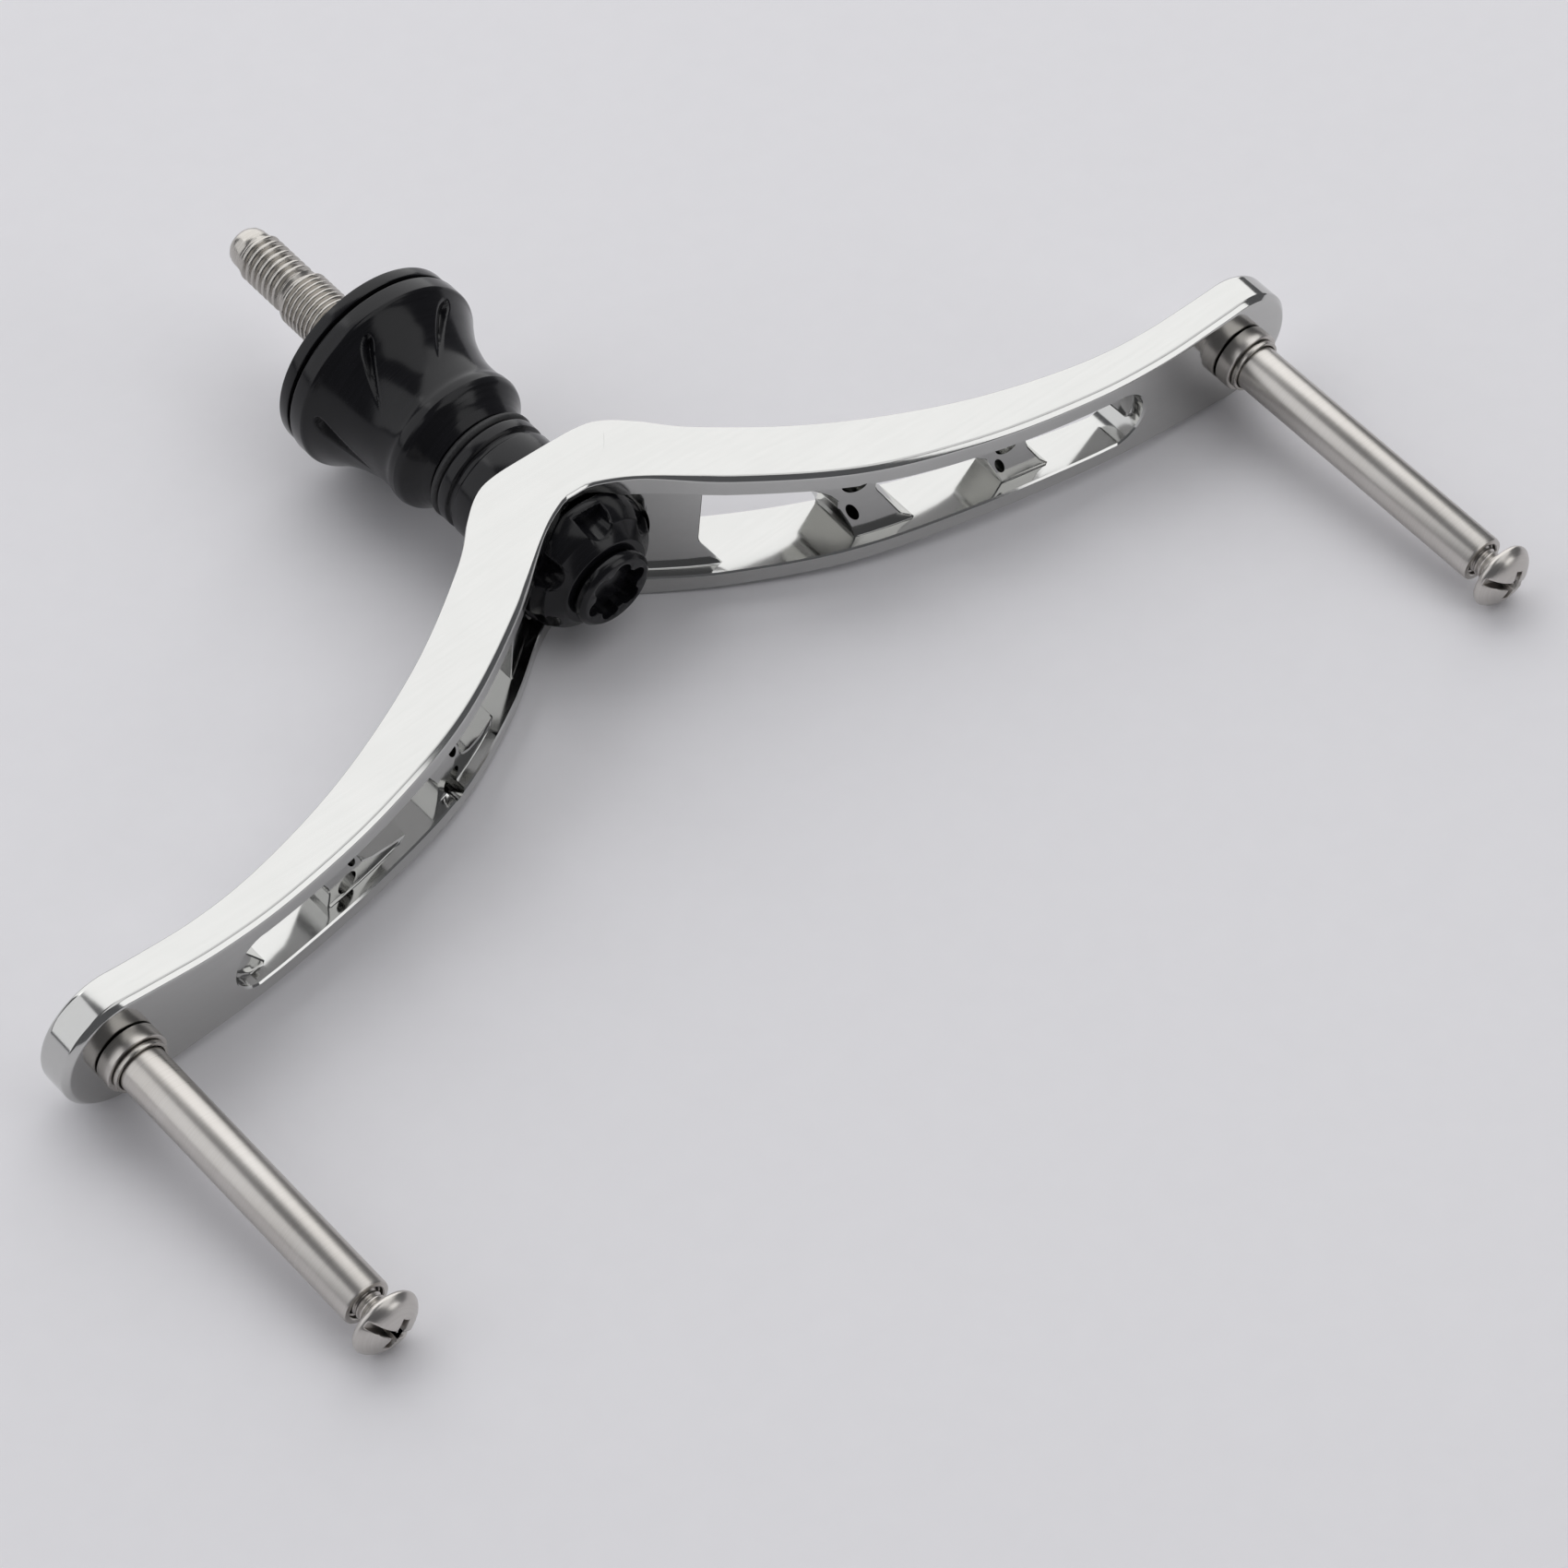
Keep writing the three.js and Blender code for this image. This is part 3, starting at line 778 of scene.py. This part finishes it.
def sleeve(name, outline, rows_of, curved_ends=False):
    """Rows of one outline. Each row has two rules: how far to draw in at an x, and at which y."""
    count = len(outline)
    last_row = (len(rows_of) - 1) * count
    normals = inward_normals(outline)
    verts = []
    for draw_in, height in rows_of:
        for (x, z), normal in zip(outline, normals):
            moved = x + normal.x * draw_in(x)
            verts.append((moved, height(moved), z + normal.y * draw_in(x)))
    faces = []
    for row in range(0, last_row, count):
        for i in range(count):
            j = (i + 1) % count
            faces.append((row + i, row + j, row + count + j, row + count + i))
    tip = max(range(count), key=lambda i: outline[i][0])
    for start in (0, last_row):
        if not curved_ends:
            faces.append(tuple(range(start, start + count)))
            continue
        for k in range(count // 2):
            around = [(tip - k) % count, (tip - k - 1) % count, (tip + k + 1) % count, (tip + k) % count]
            faces.append(tuple(start + i for i in dict.fromkeys(around)))
    return piece(name, verts, faces)


def chamfer_at(x):
    """Chamfer of the knob-side edge: narrow at the hub, full along the wings."""
    return float(np.interp(abs(x), (5, 9), (0.22, 0.45)))


def rounding_at(x):
    """Rounding of the reel-side edge: small along the wings, wider at the round ends."""
    return float(np.interp(abs(x), (8, 50, 60), (0.22, 0.3, 0.6)))


CHAMFER = soften([(3, 0), (1, 0), (0, 1), (0, 3)], 0.3)[1:-1]
QUARTER = [math.radians(a) for a in (90, 72, 54, 36, 18, 0)]
ROUND = [(1 - math.sin(a), 1 - math.cos(a)) for a in QUARTER]
blank_rows = [
    (lambda x, u=u: chamfer_at(x) * u, lambda x, v=v: front_y(x) + chamfer_at(x) * v)
    for u, v in CHAMFER
] + [
    (lambda x, u=u: rounding_at(x) * u, lambda x, v=v: back_y(x) - rounding_at(x) * v)
    for u, v in ROUND
]
arm = sleeve("arm_skin", side_outline, blank_rows, curved_ends=True)
print("arm blank rows:", len(blank_rows), "faces:", len(arm.data.polygons))

# %% [markdown]
# The recess leaves a flange above and below, as wide all along, and ends round by the post. Its floor
# follows the knob-side face.

# %% The recess and the windows
FLANGE = 2.05
POCKET_DEPTH = 1.2
POCKET_END_X = 45.9
POCKET_LIP = 0.14
POCKET_FLARE = 1.0
FLOOR_CORNER = 0.2
heights = np.array(HALF_HEIGHT)


def flange_line(x):
    """Half height of the recess at a distance from the hub."""
    return float(np.interp(x, heights[:, 0], heights[:, 1])) - FLANGE


def flared(y_of, away, lip, reach):
    """Two rows of a cutter that cut a chamfered lip. Away is -1 towards the knob, 1 towards the reel."""
    outer = (lambda x: -reach, lambda x: y_of(x) + away * (reach - lip))
    inner = (lambda x: 0.0, lambda x: y_of(x) - away * lip)
    return [outer, inner] if away < 0 else [inner, outer]


def floor_y(x):
    """Height of the floor of the recess."""
    return front_y(x) + POCKET_DEPTH


end_z = flange_line(POCKET_END_X)
pocket_top = smooth_path([(x, flange_line(x)) for x in (0, 6, 12, 20, 28, 36, 43)], 4)
pocket_right = (
    pocket_top
    + arc(POCKET_END_X - end_z, 0, end_z, 80, -80, 40)
    + [(x, -z) for x, z in reversed(pocket_top)]
)
pocket_outline = pocket_right + mirrored(pocket_right)[1:-1]
pocket_rows = flared(front_y, -1, POCKET_LIP, POCKET_FLARE) + [
    (lambda x: 0.0, lambda x: floor_y(x) - FLOOR_CORNER),
    (lambda x: FLOOR_CORNER * 0.3, lambda x: floor_y(x) - FLOOR_CORNER * 0.3),
    (lambda x: FLOOR_CORNER, floor_y),
]
carve(arm, [sleeve("cutter", pocket_outline, pocket_rows, curved_ends=True)])

WINDOWS = [
    [
        (9.5, -1.7), (11.9, -5.5), (21.2, -5.5), (20.7, -3.1), (19.2, 0.3), (19.2, 1.0), (18.5, 1.9),
        (17.4, 2.7), (15.6, 3.5), (13, 4.3), (13, 5.5), (9.5, 5.5),
    ],
    [
        (25.6, -3.0), (27, -5.5), (33.8, -5.5), (33.4, -2.8), (31.8, 0.2), (31.6, 0.8), (30.3, 1.6),
        (28, 2.5), (25.5, 3.5), (25, 5.5), (22.3, 5.5), (22.1, 2.6), (22.1, 1.6), (22.8, 0.5),
        (24.5, -2.3),
    ],
    [
        (38, -3.0), (39.5, -5.5), (46.4, -5.5), (46.4, -3.2), (43.4, 0.9), (40.2, 5.5), (35.8, 5.5),
        (35.3, 2.2), (35.2, 1.2), (35.5, 0.3), (36.9, -1.9),
    ],
]
WINDOW_FLARE = 0.3
WINDOW_LIP = 0.1
CORNER = 0.45  # as the end mill leaves it
PAST_KNOB_SIDE = -49.0
PAST_REEL_SIDE = 0.0


window_rows = (
    [(lambda x: -WINDOW_FLARE, lambda x: PAST_KNOB_SIDE)]
    + flared(floor_y, -1, WINDOW_LIP, WINDOW_FLARE)
    + flared(back_y, 1, WINDOW_LIP, WINDOW_FLARE)
    + [(lambda x: -WINDOW_FLARE, lambda x: PAST_REEL_SIDE)]
)
within_rows = [
    (lambda x: 0.0, lambda x: PAST_KNOB_SIDE - 1),
    (lambda x: 0.0, lambda x: PAST_REEL_SIDE + 1),
]
windows = []
for outline in WINDOWS:
    for side in (1, -1):
        rounded = soften(outline + outline[:1], CORNER, steps=4)[:-1]
        turned_outline = [(side * x, side * z) for x, z in rounded]
        window = sleeve("cutter", turned_outline, window_rows)
        combine(window, sleeve("cutter", pocket_outline, within_rows), "INTERSECT")
        windows.append(window)
carve(arm, windows)
print("windows cut:", len(windows), "arm faces:", len(arm.data.polygons))


# %% [markdown]
# The struts between the windows have a round hole and a slanted slot each. The posts go through the
# round ends, the hub has a spot face for the cap and a hole for its bolt, and on its top there is a
# shallow dish shaped like a lens.

# %% Holes, spot face and dish
def drill(x, z, radius, low, high, long=None, tilt=0.0, around=40):
    """A drill along Y, or with a second size a slot cutter leaning by the tilt."""
    cutter = turned("cutter", [(0, low), (1, low), (1, high), (0, high)], around=around)
    cutter.data.transform(Matrix.Diagonal((long or radius, 1, radius, 1)))
    cutter.data.transform(Matrix.Rotation(math.radians(tilt), 4, "Y"))
    cutter.data.transform(Matrix.Translation((x * MM, 0, z * MM)))
    return cutter


STRUT_HOLES = ((20.3, 2.9, 1.05), (33.3, 1.7, 1.0))  # x, z, radius
STRUT_SLOTS = ((20.35, -0.55, 1.15, 0.4), (32.95, -0.6, 1.05, 0.35))  # x, z, half length, half width
SLOT_TILT = 66
OUTSIDE_Y = -48
TAIL_R, TAIL_HEAD_R, TAIL_HEAD_Y = 1.6, 2.4, -40.25
DOWEL_X, DOWEL_R, DOWEL_Y = 3.7, 0.85, -22.7
SPOT_FACE_R, SPOT_FACE_Y = 6.3, -25.6
BOLT_HOLE_R, BOLT_HOLE_Y = 2.1, -30.6
holes = []
for side in (1, -1):
    for x, z, radius in STRUT_HOLES:
        holes.append(drill(side * x, side * z, radius, OUTSIDE_Y, 0))
    for x, z, long, half in STRUT_SLOTS:
        holes.append(drill(side * x, side * z, half, OUTSIDE_Y, 0, long=long, tilt=SLOT_TILT))
    holes.append(drill(side * POST_X, 0, TAIL_R, OUTSIDE_Y, 0))
    holes.append(drill(side * POST_X, 0, TAIL_HEAD_R, TAIL_HEAD_Y, 0))
    holes.append(drill(side * DOWEL_X, 0, DOWEL_R, DOWEL_Y, 0))
holes.append(drill(0, 0, SPOT_FACE_R, OUTSIDE_Y, SPOT_FACE_Y, around=120))
holes.append(drill(0, 0, BOLT_HOLE_R, BOLT_HOLE_Y, 0, around=60))
carve(arm, holes)

DISH_WALL_Y = -25.6
DISH_VANISH_Y = -21.9
DISH_DEPTH = 0.5
DISH_R = 6.6
dish = turned("cutter", [(0, 0), (DISH_R, 0), (DISH_R, 4), (0, 4)], around=160)
dish.data.transform(Matrix.Rotation(math.radians(90), 4, "X"))
dish.data.transform(Matrix.Translation((0, (DISH_WALL_Y + DISH_R - DISH_VANISH_Y) * MM, 0)))
dish.data.transform(Matrix.Rotation(math.atan2(DISH_DEPTH, DISH_VANISH_Y - DISH_WALL_Y), 4, "X"))
dish.data.transform(Matrix.Translation((0, DISH_VANISH_Y * MM, HALF_HEIGHT[0][1] * MM)))
carve(arm, [dish])
print("arm faces after all the cuts:", len(arm.data.polygons))

# %% [markdown]
# A mirror finish shows every wobble of the shading. The Booleans leave long thin faces next to small
# ones, and the big flat face should win where they meet. A Weighted Normal modifier does that and moves
# no point.

# %% Finish of the arm
arm.data.materials.clear()
arm.data.materials.append(polished)
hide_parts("arm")
shade(arm, sharp=28)
even = arm.modifiers.new("even shading", "WEIGHTED_NORMAL")
even.keep_sharp = True
even.weight = 80
print("arm finished:", arm.name)

# %% [markdown]
# ## Pieces that stay as they are
#
# The lock screw, the washer and the two dowels are inside and hardly seen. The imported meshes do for
# them; they only get the finish of threaded steel.

# %% Hidden pieces
for name in ("stud_lock_screw", "arm_washer", "left_drive_dowel", "right_drive_dowel"):
    node = frame["nodes"][name]
    node.data.materials.clear()
    node.data.materials.append(threaded)
print("hidden pieces finished")

# %% [markdown]
# Every new skin moves with the body of the node it stands for, so that the bolt and the screws travel.

# %% Riding on the bodies
BODY_OF = {
    "hub_cap": "hub_cap",
    "hub_bolt": "hub_bolt",
    "left_knob_screw": "left_screw",
    "right_knob_screw": "right_screw",
}
skins = [o for o in bpy.context.scene.objects if "stands_for" in o] + [arm]
for skin in skins:
    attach(skin, BODY_OF.get(skin.get("stands_for", "arm"), "handle"))
print("skins riding:", len(skins))

# %% [markdown]
# ## Table, light and camera
#
# The handle lies on its hub and its two paddles, so it leans by about five degrees. The table takes
# that lean instead of the handle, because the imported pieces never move. A table alone needs only a
# plane, with a paper grain so faint that it just takes off the computer look.

# %% The table
LEAN = 0.093
REST_Z = -7.15
HUB_Y = -26.1


def table_z(y):
    """Height of the table, in millimetres, under a point y millimetres along the axis."""
    return REST_Z - LEAN * (y - HUB_Y)


REACH = 3000.0
TOUCH = min(v.co.z / MM - table_z(v.co.y / MM) for skin in skins for v in skin.data.vertices)
table = piece(
    "table",
    [
        (sx * REACH, sy * REACH, table_z(sy * REACH) + TOUCH)
        for sx, sy in ((-1, -1), (1, -1), (1, 1), (-1, 1))
    ],
    [(0, 1, 2, 3)],
)
paper, paper_node = new_material("pale table")
paper_place = paper_node("ShaderNodeTexCoord").outputs["Object"]
paper_grain = paper_node("ShaderNodeTexNoise", {"Vector": paper_place, "Scale": 400.0, "Detail": 4.0})
paper_colour = ramp_between(
    paper_node,
    paper_grain.outputs["Fac"],
    NOISE_LOW,
    NOISE_HIGH,
    (0.828, 0.82, 0.845),
    (0.838, 0.83, 0.855),
)
paper_surface = paper_node(
    "ShaderNodeBsdfPrincipled", {"Base Color": paper_colour, "Roughness": 0.9, "Specular IOR Level": 0.1}
)
paper_node("ShaderNodeOutputMaterial", {"Surface": paper_surface.outputs["BSDF"]})
table.data.materials.append(paper)
print("table height under the hub, mm:", round(table_z(HUB_Y) + TOUCH, 2))

# %% [markdown]
# The light is one wide soft panel behind and above the handle, placed where the polished top mirrors it
# to the eye: that is what makes the top read as white metal. The faces on the knob side mirror the
# table and stay grey. A weak fill and a soft light from above keep the black pieces from closing up.


# %% Lights
AIM = Vector((0, -0.02, 0))


def panel(name, towards, distance, size, power, colour=(1, 1, 1)):
    """A square soft light in a direction from the hub, facing it. Distance and size are in metres."""
    data = bpy.data.lights.new(name, "AREA")
    data.shape = "SQUARE"
    data.size = size
    data.energy = power
    data.color = colour
    lamp = bpy.data.objects.new(name, data)
    direction = Vector(towards).normalized()
    lamp.location = direction * distance + AIM
    lamp.rotation_euler = direction.to_track_quat("Z", "Y").to_euler()
    bpy.context.scene.collection.objects.link(lamp)
    return lamp


panel("soft panel", (0.40, 0.75, 0.52), 1.3, 2.0, 17.5)
panel("overhead", (0.25, -0.25, 0.93), 1.3, 1.2, 4.2)
panel("edge light", (0.45, -0.77, 0.42), 1.6, 0.7, 2.2)
panel("fill", (-0.72, 0.50, 0.48), 1.6, 1.7, 8.5, (0.98, 0.985, 1.0))
world = bpy.data.worlds.new("studio")
world.use_nodes = True
world.node_tree.nodes["Background"].inputs["Color"].default_value = (0.86, 0.87, 0.92, 1)
world.node_tree.nodes["Background"].inputs["Strength"].default_value = 0.15
bpy.context.scene.world = world
bpy.context.scene.view_settings.view_transform = "Standard"

# %% [markdown]
# The camera looks down from the front left with a long lens, so the wings keep their true proportions.

# %% Camera
RIGHT = Vector((0.7510, -0.6565, 0.0699))
UP = Vector((0.4821, 0.6176, 0.6214))
BACK = Vector((-0.4511, -0.4330, 0.7804))
PLACE = Vector((-205.7, -248.9, 351.9))
camera_data = bpy.data.cameras.new("camera")
camera_data.sensor_width = 36
camera_data.lens = 136.6
camera = bpy.data.objects.new("camera", camera_data)
turn = Matrix((RIGHT, UP, BACK)).transposed().to_4x4()
camera.matrix_world = Matrix.Translation(PLACE * MM) @ turn
bpy.context.scene.collection.objects.link(camera)
bpy.context.scene.camera = camera
print("camera distance, mm:", round(camera.location.length / MM, 1))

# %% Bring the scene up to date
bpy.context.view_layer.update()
